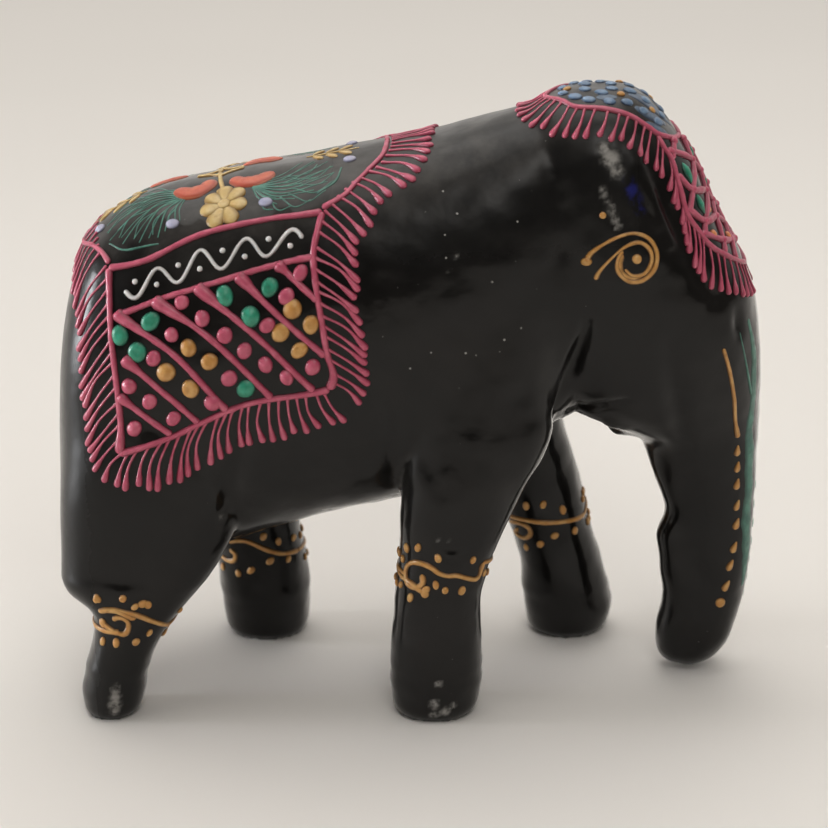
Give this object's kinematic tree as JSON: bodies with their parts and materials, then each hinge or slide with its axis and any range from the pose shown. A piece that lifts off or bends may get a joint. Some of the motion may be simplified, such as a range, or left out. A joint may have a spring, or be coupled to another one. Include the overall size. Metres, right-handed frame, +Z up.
{
  "type": "carved elephant figurine",
  "caption": "Striding carved wooden elephant in black lacquer, with a saddle cloth, head cloth, eyes and anklets in raised relief paint.",
  "frame": {"origin": "middle of the elephant's footprint box, on the floor it stands on", "axes": "+X towards the head, +Y to the elephant's left, +Z up"},
  "size_m": [0.0996, 0.0392, 0.0881],
  "materials": {
    "lacquer_black": "black gloss lacquer over carved hardwood",
    "paint_pink": "dried relief paint, semi-gloss",
    "paint_green": "dried relief paint, semi-gloss",
    "paint_gold": "dried relief paint, semi-gloss",
    "paint_white": "dried relief paint, semi-gloss",
    "paint_red": "dried relief paint, semi-gloss",
    "paint_lilac": "dried relief paint, semi-gloss",
    "paint_blue": "dried relief paint, semi-gloss"
  },
  "bodies": {
    "root": {"carved_block": "lacquer_black", "saddle_border": "paint_pink", "saddle_lattice": "paint_pink", "saddle_fringe": "paint_pink", "saddle_dots_pink": "paint_pink", "saddle_dots_green": "paint_green", "saddle_dots_gold": "paint_gold", "banner_scroll": "paint_white", "back_flowers_gold": "paint_gold", "back_petals_red": "paint_red", "back_sprays_green": "paint_green", "back_dots_lilac": "paint_lilac", "head_cloth_border": "paint_pink", "head_cloth_lattice": "paint_pink", "head_cloth_fringe": "paint_pink", "head_cap_dots_blue": "paint_blue", "head_cloth_leaves_green": "paint_green", "eye_right": "paint_gold", "eye_left": "paint_gold", "trunk_lines_gold": "paint_gold", "trunk_drops_gold": "paint_gold", "trunk_dots_green": "paint_green", "anklet_right_fore": "paint_gold", "anklet_left_fore": "paint_gold", "anklet_right_hind": "paint_gold", "anklet_left_hind": "paint_gold"}
  },
  "joints": []
}
